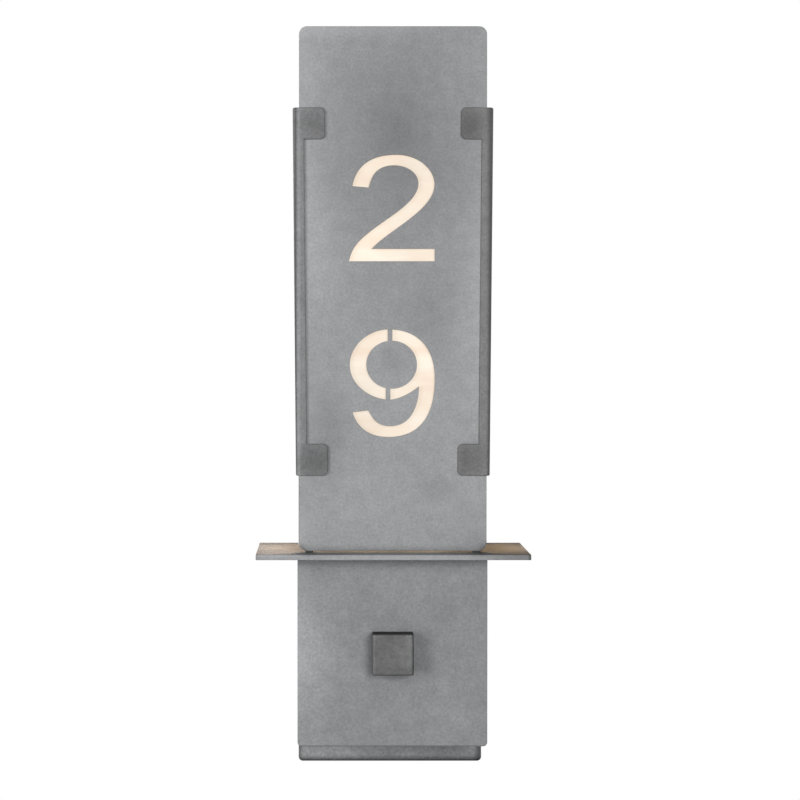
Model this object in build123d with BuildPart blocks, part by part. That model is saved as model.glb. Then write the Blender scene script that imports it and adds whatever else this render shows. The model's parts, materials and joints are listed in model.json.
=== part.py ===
from build123d import *
from math import atan, cos, radians, sin, tan
import os

# Flush mount wall sconce with a number panel that is lit from behind. Millimetres.
# +X is to the viewer's right, +Y goes into the wall and +Z is up.
# The origin is on the wall, at the centre of the junction box.
# A depth is a distance out from the wall, so depth 10 is y = -10.

# Mounting strap, stud and gasket
box_screw_spacing = 88.9
strap_length = 108.0
strap_width = 20.0
strap_thickness = 2.4
strap_corner_radius = 5.0
strap_slot_length = 10.0
strap_slot_width = 4.8
ground_screw_offset = 20.0
stud_radius = 4.85
stud_bore_radius = 3.3
stud_engagement = 11.5
stud_hole_clearance = 0.35
thread_clearance = 0.08
locknut_across_flats = 14.3
locknut_height = 3.2
gasket_inner_radius = 57.0
gasket_width = 8.0

# Back pan
pan_width = 177.8
pan_depth = 12.7
pan_sheet = 1.5
pan_corner_radius = 4.2
pan_bend_radius = 4.0
pan_lip = 29.1
pan_top_margin = 11.1
anchor_inset = 28.0
anchor_hole_radius = 2.6
anchor_sleeve_radius = 6.0

# Lower plate, its cap nut and the wiring box behind it
plate_size = 177.8
plate_thickness = 3.2
plate_corner_radius = 4.0
plate_edge_radius = 0.6
plate_front = 76.2
cap_size = 38.1
cap_height = 17.3
cap_edge_radius = 1.2
cap_bore_depth = 13.0
seal_radius = 13.0
seal_thickness = 1.0
box_inset = 6.35
box_sheet = 1.5
box_corner_radius = 3.0
box_bend_radius = 2.5
box_screw_offset = 62.0

# Shelf
shelf_length = 254.0
shelf_depth = 101.6
shelf_thickness = 4.76
shelf_edge_radius = 0.6
notch_clearance = 0.6
shelf_screw_offset = 58.0
shelf_screw_depth = 45.0

# Number panel and its numbers
panel_width = 174.6
panel_height = 487.5
panel_thickness = 3.2
panel_front = 84.0
panel_corner_radius = 7.5
panel_edge_radius = 0.5
numeral_height = 100.0
numeral_width_ratio = 0.81
nine_rise = 105.5
numeral_gap = 63.4
bumper_length = 7.0
bumper_depth = 6.0
bumper_thickness = 1.75
bumper_corner_radius = 1.5
bumper_inset = 5.8

# Diffuser behind the numbers
diffuser_thickness = 3.0
diffuser_side_margin = 19.5
diffuser_end_margin = 14.0
diffuser_corner_radius = 3.0
diffuser_stud_inset = 6.0
weld_stud_radius = 1.5
weld_stud_clearance = 0.3
weld_stud_tail = 1.2
washer_radius = 3.5
washer_thickness = 0.8
small_nut_across_flats = 5.5
small_nut_height = 2.4

# Side brackets
bracket_sheet = 2.5
bracket_height = 342.0
bracket_lift = 71.75
bracket_spread = 3.05
bracket_back_flange = 20.0
bracket_front_flange = 10.6
bracket_bend_radius = 3.5
tab_width = 30.1
tab_height = 29.7
tab_corner_radius = 5.0
tab_edge_radius = 1.6
bracket_side_clearance = 0.4
slide_clearance = 0.2
tongue_clearance = 0.3
tongue_reach = 11.0
tongue_height = 14.0
tongue_from_end = 48.0
tongue_window_depth = 9.0
bracket_screw_inset = 13.0
bracket_screw_from_end = 24.0

# Machine screws and nuts
screw_radius = 2.0
screw_hole_clearance = 0.25
screw_head_radius = 4.0
screw_head_height = 2.6
screw_head_round = 0.8
screw_tail = 1.0
nut_across_flats = 7.0
nut_height = 3.2
nut_clearance = 0.05

# Lamps, sockets and their brackets
lamp_depth = 45.0
lower_arm_height = 138.0
lamp_change_room = 31.5
arm_sheet = 1.5
arm_length = 54.0
arm_width = 40.0
arm_foot = 26.0
arm_bend_radius = 3.0
arm_corner_radius = 6.0
arm_opening_radius = 11.0
arm_screw_offset = 12.0
socket_radius = 19.0
socket_height = 42.0
socket_floor = 9.0
socket_waist_radius = 17.2
socket_flange_height = 7.0
socket_rim_height = 7.0
socket_edge_radius = 0.8
socket_screw_offset = 15.0
socket_screw_radius = 1.5
socket_screw_grip = 5.0
socket_screw_head_radius = 2.8
socket_screw_head_height = 1.8
socket_screw_clearance = 0.1
shell_inner_radius = 13.6
shell_sheet = 0.6
shell_fit = 0.05
shell_height = 27.0
shell_opening_radius = 6.5
contact_radius = 4.0
contact_height = 2.5
contact_edge_radius = 0.5
lamp_base_radius = 13.2
lamp_tip_radius = 3.2
lamp_tip_height = 2.0
lamp_cone_height = 3.5
lamp_cone_radius = 9.0
lamp_base_height = 27.0
lamp_cup_depth = 8.0
lamp_seat_clearance = 0.1
neck_radius = 11.8
neck_height = 17.0
shoulder_height = 14.0
lamp_radius = 16.0
lamp_length = 139.0
glass_wall = 1.0

# Wiring
supply_bore_radius = 5.0
supply_neck_radius = 7.0
supply_flange_radius = 10.0
supply_offset = 28.0
grommet_flange = 1.5
lead_bore_radius = 4.6
lead_neck_radius = 6.2
lead_flange_radius = 8.6
lead_grommet_depth = 24.0
lead_radius = 1.1
lead_pitch = 4.0
lead_hole_clearance = 0.1
lead_entry_depth = 5.0
lead_entry_offset = 8.0
lead_side_offset = 27.0
lead_back_depth = 20.0
lead_rise_from_pole = 10.0
lead_run_into_bushing = 8.0
lead_run_beside_lamp = 38.0
lead_drop_from_socket = 14.0
block_poles = 4
block_pitch = 9.5
block_width = 20.0
block_thickness = 18.0
block_rise = 32.0
block_wire_depth = 22.0
block_wire_entry = 6.0
block_rib = 1.6
block_channel_depth = 3.0
block_screw_radius = 2.4
block_screw_recess = 5.0
block_ear = 9.0
block_ear_thickness = 5.0
block_ear_corner_radius = 3.0
clip_rise = 74.0
clip_width = 10.0
clip_height = 8.0
clip_wall = 2.4
clip_corner_radius = 1.2

# Depths and heights worked out from the sizes above
pan_inside = pan_depth - pan_sheet
plate_back = plate_front - plate_thickness
seal_front = plate_front + seal_thickness
stud_length = seal_front + stud_engagement
shelf_bottom = plate_size / 2
shelf_top = shelf_bottom + shelf_thickness
panel_bottom = shelf_top + bumper_thickness
panel_back = panel_front - panel_thickness
nine_base = panel_bottom + nine_rise
two_base = nine_base + numeral_height + numeral_gap
diffuser_back = panel_back - diffuser_thickness
washer_back = diffuser_back - washer_thickness
diffuser_width = numeral_height * numeral_width_ratio + 2 * diffuser_side_margin
diffuser_bottom = nine_base - diffuser_end_margin
diffuser_top = two_base + numeral_height + diffuser_end_margin
bracket_bottom = shelf_top + bracket_lift
tab_back = panel_front + slide_clearance
bracket_front = tab_back + bracket_sheet
bracket_foot = panel_width / 2 + bracket_side_clearance + bracket_sheet
bracket_lean = atan(bracket_spread / bracket_height)
bracket_top = bracket_bottom + bracket_height * cos(bracket_lean)
pan_bottom = -plate_size / 2 - pan_lip
pan_top = bracket_top + pan_top_margin
anchor_height = pan_top - anchor_inset
box_back_front = pan_depth + box_sheet
base_bottom = socket_floor + contact_height
base_top = base_bottom + lamp_base_height
cup_floor = base_top - lamp_cup_depth
upper_arm_height = lower_arm_height + base_bottom + lamp_length + lamp_change_room
screw_hole_radius = screw_radius + screw_hole_clearance


def wall_plane(depth, height=0.0):
    """A plane parallel to the wall, facing the room, whose sketches have X across and Z up."""
    return Plane(origin=(0, -depth, height), x_dir=(1, 0, 0), z_dir=(0, -1, 0))


def both_sides(across, height):
    """The same spot on the left and on the right."""
    return [(-across, height), (across, height)]


def bracket_spot(inset, rise):
    """Where a point of the right bracket, measured in from its outer face and up its edge, lies."""
    across = bracket_foot - inset * cos(bracket_lean) + rise * sin(bracket_lean)
    height = bracket_bottom + inset * sin(bracket_lean) + rise * cos(bracket_lean)
    return across, height


bracket_screw_rises = [
    bracket_screw_from_end,
    bracket_height / 2,
    bracket_height - bracket_screw_from_end,
]
bracket_screw_spots = [
    spot
    for rise in bracket_screw_rises
    for spot in both_sides(*bracket_spot(bracket_screw_inset, rise))
]
box_screw_spots = both_sides(box_screw_offset, -box_screw_offset) + both_sides(
    box_screw_offset, box_screw_offset
)
arm_heights = {"lower": lower_arm_height, "upper": upper_arm_height}
arm_screw_spots = [
    spot
    for height in arm_heights.values()
    for spot in both_sides(arm_screw_offset, height - arm_foot / 2)
]
supply_spot = (-supply_offset, -supply_offset)
shelf_screw_spots = both_sides(shelf_screw_offset, -shelf_screw_depth)
diffuser_stud_spots = [
    (across, height)
    for height in (
        diffuser_bottom + diffuser_stud_inset,
        (diffuser_bottom + diffuser_top) / 2,
        diffuser_top - diffuser_stud_inset,
    )
    for across in (
        diffuser_stud_inset - diffuser_width / 2,
        diffuser_width / 2 - diffuser_stud_inset,
    )
]


def save(builder, label):
    """Name the finished piece and write it to its own file."""
    builder.part.label = label
    export_step(builder.part, f"parts/{label}.step")


def discs(plane, spots, radius, amount, mode=Mode.ADD):
    """Round pegs or holes of one radius at every spot of a plane."""
    with BuildSketch(plane) as circles:
        with Locations(*spots):
            Circle(radius)
    extrude(circles.sketch, amount=amount, mode=mode)


def add_screws(plane, spots, grip):
    """Machine screws whose domed heads sit on a plane and whose shanks go through it."""
    discs(plane, spots, screw_head_radius, screw_head_height)
    outward = Axis(plane.origin, plane.z_dir)
    rims = edges().filter_by(GeomType.CIRCLE).group_by(outward)[-1]
    fillet(rims, screw_head_round)
    discs(plane, spots, screw_radius, -(grip + nut_height + screw_tail))


def add_nuts(plane, spots, across_flats, bore, height):
    """Hexagon nuts that stand on a plane at every spot."""
    with BuildSketch(plane) as hexagons:
        with Locations(*spots):
            RegularPolygon(across_flats / 2, 6, major_radius=False)
            Circle(bore, mode=Mode.SUBTRACT)
    extrude(hexagons.sketch, amount=height)


def numeral_point(across, up):
    """A point of a numeral outline, given in hundredths of the numeral's height."""
    return across * numeral_height / 100, up * numeral_height / 100


def outline(*points, start, end):
    """A smooth stretch of a numeral outline, with its directions at both ends."""
    return Spline(*[numeral_point(*point) for point in points], tangents=(start, end))


def draw_two():
    """The numeral 2, on its base line."""
    up, down, left, right = (0, 1), (0, -1), (-1, 0), (1, 0)
    with BuildLine() as edge:
        Polyline(
            numeral_point(-40.7, 0),
            numeral_point(38.9, 0),
            numeral_point(38.9, 12.3),
            numeral_point(-20.0, 12.3),
        )
        outline(
            (-20.0, 12.3),
            (5.1, 32.2),
            (24.8, 47.4),
            (34.5, 58.7),
            (38.7, 72.5),
            start=(1, 0.95),
            end=up,
        )
        outline((38.7, 72.5), (36.2, 82.4), (30.1, 90.3), (17.2, 97.4), (1.6, 99.6), start=up, end=left)
        outline((1.6, 99.6), (-13.5, 97.6), (-26.8, 91.0), (-35.4, 79.1), (-37.6, 70.2), start=left, end=(-0.15, -1))
        Line(numeral_point(-37.6, 70.2), numeral_point(-21.9, 69.1))
        outline((-21.9, 69.1), (-19.1, 80.2), (-11.7, 86.7), (1.6, 89.6), start=(0.1, 1), end=right)
        outline((1.6, 89.6), (12.5, 87.2), (20.5, 81.6), (23.8, 72.0), start=right, end=down)
        outline(
            (23.8, 72.0),
            (20.8, 62.8),
            (10.7, 51.9),
            (-9.2, 37.0),
            (-25.3, 25.1),
            (-35.4, 14.2),
            (-40.7, 0),
            start=down,
            end=(-0.25, -1),
        )
    make_face(edge.edges())


def draw_nine():
    """The numeral 9, with the two stencil bridges that hold its middle."""
    up, down, left, right = (0, 1), (0, -1), (-1, 0), (1, 0)
    with BuildLine() as edge:
        outline((23.9, 48.8), (15.1, 40.8), (5.9, 36.8), (-4.3, 35.3), start=(-1, -1.1), end=left)
        outline((-4.3, 35.3), (-16.1, 37.2), (-29.3, 44.0), (-37.6, 54.9), (-40.1, 67.0), start=left, end=up)
        outline((-40.1, 67.0), (-37.6, 80.0), (-28.6, 91.7), (-15.3, 98.5), (-2.7, 100.4), start=up, end=right)
        outline(
            (-2.7, 100.4),
            (12.1, 98.1),
            (25.0, 90.6),
            (34.1, 79.0),
            (38.0, 64.6),
            (38.8, 52.0),
            start=right,
            end=down,
        )
        outline(
            (38.8, 52.0),
            (37.1, 34.8),
            (32.2, 20.7),
            (23.2, 9.1),
            (10.1, 2.0),
            (-2.7, 0.0),
            start=down,
            end=left,
        )
        outline((-2.7, 0.0), (-14.5, 1.2), (-27.9, 7.2), (-34.6, 15.0), (-37.5, 24.0), start=left, end=(-0.12, 1))
        Line(numeral_point(-37.5, 24.0), numeral_point(-22.4, 25.2))
        outline((-22.4, 25.2), (-17.9, 15.9), (-9.5, 10.9), (-1.8, 10.2), start=(0.22, -1), end=right)
        outline((-1.8, 10.2), (9.8, 13.6), (19.3, 25.0), (22.6, 36.0), (23.9, 48.8), start=right, end=up)
    make_face(edge.edges())
    with Locations(numeral_point(-1.5, 67.8)):
        Ellipse(*numeral_point(23.5, 22.3), mode=Mode.SUBTRACT)
    with Locations(numeral_point(-2.6, 96.0), numeral_point(-4.4, 39.5)):
        Rectangle(*numeral_point(4.3, 15.0), mode=Mode.SUBTRACT)


def lead_radii(points):
    """Bend radii for a lead's route, as large as its runs allow."""
    corners = [Vector(*point) for point in points]
    radii = []
    for before, corner, after in zip(corners, corners[1:], corners[2:]):
        arriving = corner - before
        leaving = after - corner
        half_turn = radians(arriving.get_angle(leaving)) / 2
        radii.append(0.45 * min(arriving.length, leaving.length) / tan(half_turn))
    return radii


os.makedirs("parts", exist_ok=True)

# The strap that is screwed to the junction box, with a tapped middle
with BuildPart() as mounting_strap:
    with BuildSketch(wall_plane(0)):
        RectangleRounded(strap_length, strap_width, strap_corner_radius)
        with Locations(*both_sides(box_screw_spacing / 2, 0)):
            SlotOverall(strap_slot_length, strap_slot_width, mode=Mode.SUBTRACT)
        Circle(stud_radius + thread_clearance, mode=Mode.SUBTRACT)
        with Locations((ground_screw_offset, 0)):
            Circle(screw_radius + thread_clearance, mode=Mode.SUBTRACT)
    extrude(amount=strap_thickness)
save(mounting_strap, "mounting_strap")

# The earth screw in the strap
with BuildPart() as ground_screw:
    discs(wall_plane(strap_thickness), [(ground_screw_offset, 0)], screw_head_radius, screw_head_height)
    fillet(edges().filter_by(GeomType.CIRCLE).group_by(Axis.Y)[0], screw_head_round)
    discs(wall_plane(strap_thickness), [(ground_screw_offset, 0)], screw_radius, -strap_thickness)
save(ground_screw, "ground_screw")

# The threaded tube that the cap nut pulls on
with BuildPart() as center_stud:
    with BuildSketch(wall_plane(0)):
        Circle(stud_radius)
        Circle(stud_bore_radius, mode=Mode.SUBTRACT)
    extrude(amount=stud_length)
save(center_stud, "center_stud")

with BuildPart() as stud_locknut:
    add_nuts(
        wall_plane(strap_thickness),
        [(0, 0)],
        locknut_across_flats,
        stud_radius + thread_clearance,
        locknut_height,
    )
save(stud_locknut, "stud_locknut")

# The foam ring that keeps water out of the junction box
with BuildPart() as box_gasket:
    with BuildSketch(wall_plane(0)):
        Circle(gasket_inner_radius + gasket_width)
        Circle(gasket_inner_radius, mode=Mode.SUBTRACT)
    extrude(amount=pan_inside)
save(box_gasket, "box_gasket")

# The shallow pan against the wall: a folded tray, open at its back
with BuildPart() as back_pan:
    with BuildSketch(wall_plane(0, (pan_bottom + pan_top) / 2)):
        RectangleRounded(pan_width, pan_top - pan_bottom, pan_corner_radius)
    extrude(amount=pan_depth)
    fillet(faces().sort_by(Axis.Y)[0].edges(), pan_bend_radius)
    offset(amount=-pan_sheet, openings=faces().sort_by(Axis.Y)[-1])
    pan_face = wall_plane(pan_depth)
    discs(pan_face, [(0, 0)], stud_radius + stud_hole_clearance, -pan_depth, Mode.SUBTRACT)
    discs(pan_face, [(0, anchor_height)], anchor_hole_radius, -pan_depth, Mode.SUBTRACT)
    discs(pan_face, [supply_spot], supply_neck_radius, -pan_depth, Mode.SUBTRACT)
    pan_screw_spots = box_screw_spots + bracket_screw_spots + arm_screw_spots
    discs(pan_face, pan_screw_spots, screw_hole_radius, -pan_depth, Mode.SUBTRACT)
save(back_pan, "back_pan")

# The sleeve that keeps the pan from buckling under the upper wall screw
with BuildPart() as anchor_spacer:
    with BuildSketch(wall_plane(0, anchor_height)):
        Circle(anchor_sleeve_radius)
        Circle(anchor_hole_radius, mode=Mode.SUBTRACT)
    extrude(amount=pan_inside)
save(anchor_spacer, "anchor_spacer")

# The folded box between the pan and the lower plate, which also carries the shelf
with BuildPart() as wiring_box:
    box_width = plate_size - 2 * box_inset
    box_height = plate_size - box_inset
    with BuildSketch(wall_plane(pan_depth, box_inset / 2)):
        RectangleRounded(box_width, box_height, box_corner_radius)
    extrude(amount=plate_back - pan_depth)
    fillet(faces().sort_by(Axis.Y)[-1].edges(), box_bend_radius)
    offset(amount=-box_sheet, openings=faces().sort_by(Axis.Y)[0])
    box_floor = wall_plane(box_back_front)
    discs(box_floor, [(0, 0)], stud_radius + stud_hole_clearance, -box_sheet, Mode.SUBTRACT)
    discs(box_floor, [supply_spot], supply_neck_radius, -box_sheet, Mode.SUBTRACT)
    discs(box_floor, box_screw_spots, screw_hole_radius, -box_sheet, Mode.SUBTRACT)
    box_roof = Plane.XY.offset(shelf_bottom)
    discs(box_roof, shelf_screw_spots, screw_hole_radius, -box_sheet, Mode.SUBTRACT)
    discs(box_roof, [(0, -lead_grommet_depth)], lead_neck_radius, -box_sheet, Mode.SUBTRACT)
save(wiring_box, "wiring_box")

with BuildPart() as wiring_box_screws:
    add_screws(wall_plane(box_back_front), box_screw_spots, box_sheet + pan_sheet)
save(wiring_box_screws, "wiring_box_screws")

# The square plate that covers the wiring
with BuildPart() as lower_plate:
    with BuildSketch(wall_plane(plate_back)):
        RectangleRounded(plate_size, plate_size, plate_corner_radius)
        Circle(stud_radius + stud_hole_clearance, mode=Mode.SUBTRACT)
    extrude(amount=plate_thickness)
    fillet(faces().sort_by(Axis.Y)[0].outer_wire().edges(), plate_edge_radius)
save(lower_plate, "lower_plate")

with BuildPart() as cap_nut_washer:
    with BuildSketch(wall_plane(plate_front)):
        Circle(seal_radius)
        Circle(stud_radius + thread_clearance, mode=Mode.SUBTRACT)
    extrude(amount=seal_thickness)
save(cap_nut_washer, "cap_nut_washer")

# The square cap nut, turned by hand, with a blind thread
with BuildPart() as cap_nut:
    with BuildSketch(wall_plane(seal_front)):
        Rectangle(cap_size, cap_size)
    extrude(amount=cap_height)
    fillet(edges().filter_by(Axis.Y), cap_edge_radius)
    fillet(faces().sort_by(Axis.Y)[0].edges(), cap_edge_radius)
    discs(wall_plane(seal_front), [(0, 0)], stud_radius + thread_clearance, cap_bore_depth, Mode.SUBTRACT)
save(cap_nut, "cap_nut")

# The shelf, notched round the pan so that its two ends reach the wall
with BuildPart() as shelf:
    with BuildSketch(Plane.XY.offset(shelf_bottom)):
        with Locations((0, -shelf_depth / 2)):
            Rectangle(shelf_length, shelf_depth)
        with Locations((0, -(pan_depth + notch_clearance) / 2)):
            Rectangle(pan_width + 2 * notch_clearance, pan_depth + notch_clearance, mode=Mode.SUBTRACT)
        with Locations(*shelf_screw_spots):
            Circle(screw_hole_radius, mode=Mode.SUBTRACT)
        with Locations((0, -lead_grommet_depth)):
            Circle(lead_neck_radius, mode=Mode.SUBTRACT)
    extrude(amount=shelf_thickness)
    front_face = faces().sort_by(Axis.Y)[0]
    fillet(front_face.edges(), shelf_edge_radius)
save(shelf, "shelf")

with BuildPart() as shelf_screws:
    add_screws(Plane.XY.offset(shelf_top), shelf_screw_spots, shelf_thickness + box_sheet)
save(shelf_screws, "shelf_screws")

with BuildPart() as shelf_nuts:
    add_nuts(
        Plane.XY.offset(shelf_bottom - box_sheet - nut_height),
        shelf_screw_spots,
        nut_across_flats,
        screw_radius + nut_clearance,
        nut_height,
    )
save(shelf_nuts, "shelf_nuts")

# A folded side bracket: back flange on the pan, side wall, and a front edge with two gripping tabs.
# It leans outward going up, so the number panel drops in easily and is gripped at the foot.
lean_across = (cos(bracket_lean), 0, -sin(bracket_lean))
lean_up = (sin(bracket_lean), 0, cos(bracket_lean))
bracket_end = Plane(origin=(bracket_foot, 0, bracket_bottom), x_dir=lean_across, z_dir=lean_up)
tab_plane = Plane(origin=(bracket_foot, -tab_back, bracket_bottom), x_dir=lean_across, z_dir=(0, -1, 0))
tongue_front = panel_back - tongue_clearance
tongue_plane = Plane(
    origin=(bracket_foot, -(tongue_front - bracket_sheet), bracket_bottom),
    x_dir=lean_across,
    z_dir=(0, -1, 0),
)
tongue_rises = [tongue_from_end, bracket_height - tongue_from_end]
with BuildPart() as right_bracket:
    with BuildSketch(bracket_end):
        with BuildLine():
            Polyline(
                (-bracket_back_flange, -pan_depth),
                (0, -pan_depth),
                (0, -bracket_front),
                (-bracket_front_flange, -bracket_front),
                (-bracket_front_flange, -tab_back),
                (-bracket_sheet, -tab_back),
                (-bracket_sheet, -pan_depth - bracket_sheet),
                (-bracket_back_flange, -pan_depth - bracket_sheet),
                close=True,
            )
        make_face()
        fillet(vertices().group_by(Axis.X)[-1], bracket_bend_radius)
        fillet(vertices().sort_by(Axis.X)[-4:-2], bracket_bend_radius - bracket_sheet)
    extrude(amount=bracket_height)
    with BuildSketch(tab_plane):
        with Locations((0, 0), (0, bracket_height - tab_height)):
            Rectangle(tab_width, tab_height, align=(Align.MAX, Align.MIN))
        with Locations((0, 0)):
            Rectangle(bracket_bend_radius, bracket_height, align=(Align.MAX, Align.MIN), mode=Mode.SUBTRACT)
        fillet(vertices().group_by(Axis.X)[0], tab_corner_radius)
    extrude(amount=bracket_sheet)
    gripping_face = faces().filter_by(GeomType.PLANE).sort_by(Axis.Y)[0]
    bend_line = gripping_face.edges().sort_by(Axis.X)[-1]
    fillet([edge for edge in gripping_face.edges() if edge != bend_line], tab_edge_radius)
    with BuildSketch(tongue_plane):
        with Locations(*[(0, rise) for rise in tongue_rises]):
            Rectangle(tongue_window_depth, tongue_height, align=(Align.CENTER, Align.CENTER))
    extrude(amount=-tongue_window_depth, mode=Mode.SUBTRACT)
    with BuildSketch(tongue_plane):
        with Locations(*[(-bracket_sheet / 2, rise) for rise in tongue_rises]):
            Rectangle(
                tongue_reach + bracket_sheet / 2,
                tongue_height,
                align=(Align.MAX, Align.CENTER),
            )
    extrude(amount=bracket_sheet)
    right_screw_spots = [spot for spot in bracket_screw_spots if spot[0] > 0]
    discs(
        wall_plane(pan_depth + bracket_sheet),
        right_screw_spots,
        screw_hole_radius,
        -bracket_sheet,
        Mode.SUBTRACT,
    )
save(right_bracket, "right_bracket")

with BuildPart() as left_bracket:
    mirror(right_bracket.part, about=Plane.YZ)
save(left_bracket, "left_bracket")

with BuildPart() as bracket_screws:
    add_screws(wall_plane(pan_depth + bracket_sheet), bracket_screw_spots, bracket_sheet + pan_sheet)
save(bracket_screws, "bracket_screws")

# The number panel, with its numerals cut through and studs welded to its back
with BuildPart() as number_panel:
    with BuildSketch(wall_plane(panel_back, panel_bottom + panel_height / 2)):
        RectangleRounded(panel_width, panel_height, panel_corner_radius)
    extrude(amount=panel_thickness)
    fillet(faces().sort_by(Axis.Y)[0].edges(), panel_edge_radius)
    with BuildSketch(wall_plane(panel_back, two_base)):
        draw_two()
    extrude(amount=panel_thickness, mode=Mode.SUBTRACT)
    with BuildSketch(wall_plane(panel_back, nine_base)):
        draw_nine()
    extrude(amount=panel_thickness, mode=Mode.SUBTRACT)
    weld_stud_length = diffuser_thickness + washer_thickness + small_nut_height + weld_stud_tail
    discs(wall_plane(panel_back), diffuser_stud_spots, weld_stud_radius, -weld_stud_length)
save(number_panel, "number_panel")

# The opal sheet that the light comes through
with BuildPart() as diffuser:
    with BuildSketch(wall_plane(diffuser_back, (diffuser_bottom + diffuser_top) / 2)):
        RectangleRounded(diffuser_width, diffuser_top - diffuser_bottom, diffuser_corner_radius)
    extrude(amount=diffuser_thickness)
    discs(
        wall_plane(diffuser_back),
        diffuser_stud_spots,
        weld_stud_radius + weld_stud_clearance,
        diffuser_thickness,
        Mode.SUBTRACT,
    )
save(diffuser, "diffuser")

with BuildPart() as diffuser_washers:
    with BuildSketch(wall_plane(washer_back)):
        with Locations(*diffuser_stud_spots):
            Circle(washer_radius)
            Circle(weld_stud_radius + weld_stud_clearance, mode=Mode.SUBTRACT)
    extrude(amount=washer_thickness)
save(diffuser_washers, "diffuser_washers")

with BuildPart() as diffuser_nuts:
    add_nuts(
        wall_plane(washer_back - small_nut_height),
        diffuser_stud_spots,
        small_nut_across_flats,
        weld_stud_radius + nut_clearance,
        small_nut_height,
    )
save(diffuser_nuts, "diffuser_nuts")

# The two pads on the shelf that the number panel stands on
with BuildPart() as panel_bumpers:
    bumper_middle = panel_width / 2 - bumper_inset - bumper_length / 2
    with BuildSketch(Plane.XY.offset(shelf_top)):
        with Locations(*both_sides(bumper_middle, -(panel_back + panel_front) / 2)):
            RectangleRounded(bumper_length, bumper_depth, bumper_corner_radius)
    extrude(amount=bumper_thickness)
save(panel_bumpers, "panel_bumpers")

# The rubber bushings where the supply comes in and where the lamp leads go up
with BuildPart() as supply_grommet:
    sheets = pan_sheet + box_sheet
    with BuildSketch(wall_plane(pan_inside)):
        with Locations(supply_spot):
            Circle(supply_neck_radius)
    extrude(amount=sheets)
    discs(wall_plane(pan_inside), [supply_spot], supply_flange_radius, -grommet_flange)
    discs(wall_plane(box_back_front), [supply_spot], supply_flange_radius, grommet_flange)
    discs(
        wall_plane(pan_inside - grommet_flange),
        [supply_spot],
        supply_bore_radius,
        sheets + 2 * grommet_flange,
        Mode.SUBTRACT,
    )
save(supply_grommet, "supply_grommet")

with BuildPart() as lead_grommet:
    sheets = shelf_thickness + box_sheet
    lead_spot = (0, -lead_grommet_depth)
    discs(Plane.XY.offset(shelf_top), [lead_spot], lead_neck_radius, -sheets)
    discs(Plane.XY.offset(shelf_top), [lead_spot], lead_flange_radius, grommet_flange)
    discs(Plane.XY.offset(shelf_top - sheets), [lead_spot], lead_flange_radius, -grommet_flange)
    discs(
        Plane.XY.offset(shelf_top + grommet_flange),
        [lead_spot],
        lead_bore_radius,
        -(sheets + 2 * grommet_flange),
        Mode.SUBTRACT,
    )
save(lead_grommet, "lead_grommet")

# The terminal block inside the wiring box, with one pole for each lead
block_length = block_poles * block_pitch
block_middle = block_rise + block_width / 2
block_top = block_rise + block_width
pole_offsets = [(pole - (block_poles - 1) / 2) * block_pitch for pole in range(block_poles)]
block_screw_spots = both_sides(block_length / 2 + block_ear / 2, block_middle)
with BuildPart() as terminal_block:
    with BuildSketch(wall_plane(box_back_front, block_middle)):
        Rectangle(block_length, block_width)
    extrude(amount=block_thickness)
    with BuildSketch(wall_plane(box_back_front, block_middle)):
        RectangleRounded(block_length + 2 * block_ear, block_ear, block_ear_corner_radius)
    extrude(amount=block_ear_thickness)
    pole_spots = [(offset_x, block_middle) for offset_x in pole_offsets]
    with BuildSketch(wall_plane(box_back_front + block_thickness)):
        with Locations(*pole_spots):
            Rectangle(block_pitch - block_rib, block_width)
    extrude(amount=-block_channel_depth, mode=Mode.SUBTRACT)
    discs(
        wall_plane(box_back_front + block_thickness - block_channel_depth),
        pole_spots,
        block_screw_radius,
        -block_screw_recess,
        Mode.SUBTRACT,
    )
    discs(
        Plane.XY.offset(block_top),
        [(offset_x, -block_wire_depth) for offset_x in pole_offsets],
        lead_radius + lead_hole_clearance,
        -block_wire_entry,
        Mode.SUBTRACT,
    )
    discs(
        wall_plane(box_back_front),
        block_screw_spots,
        socket_screw_radius + socket_screw_clearance,
        block_ear_thickness,
        Mode.SUBTRACT,
    )
save(terminal_block, "terminal_block")

with BuildPart() as terminal_block_screws:
    ear_front = wall_plane(box_back_front + block_ear_thickness)
    discs(ear_front, block_screw_spots, socket_screw_head_radius, socket_screw_head_height)
    discs(ear_front, block_screw_spots, socket_screw_radius, -block_ear_thickness)
save(terminal_block_screws, "terminal_block_screws")

# Two lamps, one behind each numeral, standing in sockets on folded arms
shell_outer_radius = shell_inner_radius + shell_sheet
cavity_radius = shell_outer_radius + shell_fit
waist_step = socket_radius - socket_waist_radius
socket_lead_spots = both_sides(lead_entry_offset, -lamp_depth)


def lamp_outline(height, shrink):
    """Half the outline of a tubular lamp glass, up from its neck, drawn smaller by shrink."""
    foot = height + cup_floor
    neck_top = foot + neck_height
    shoulder = neck_top + shoulder_height
    tip = height + base_bottom + lamp_length
    radius = lamp_radius - shrink
    neck = neck_radius - shrink
    with BuildLine() as edge:
        Polyline((0, foot), (neck, foot), (neck, neck_top))
        Spline((neck, neck_top), (radius, shoulder), tangents=((0, 1), (0, 1)))
        Line((radius, shoulder), (radius, tip - lamp_radius))
        CenterArc((0, tip - lamp_radius), radius, 0, 90)
        Line((0, tip - shrink), (0, foot))
    make_face(edge.edges())


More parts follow.
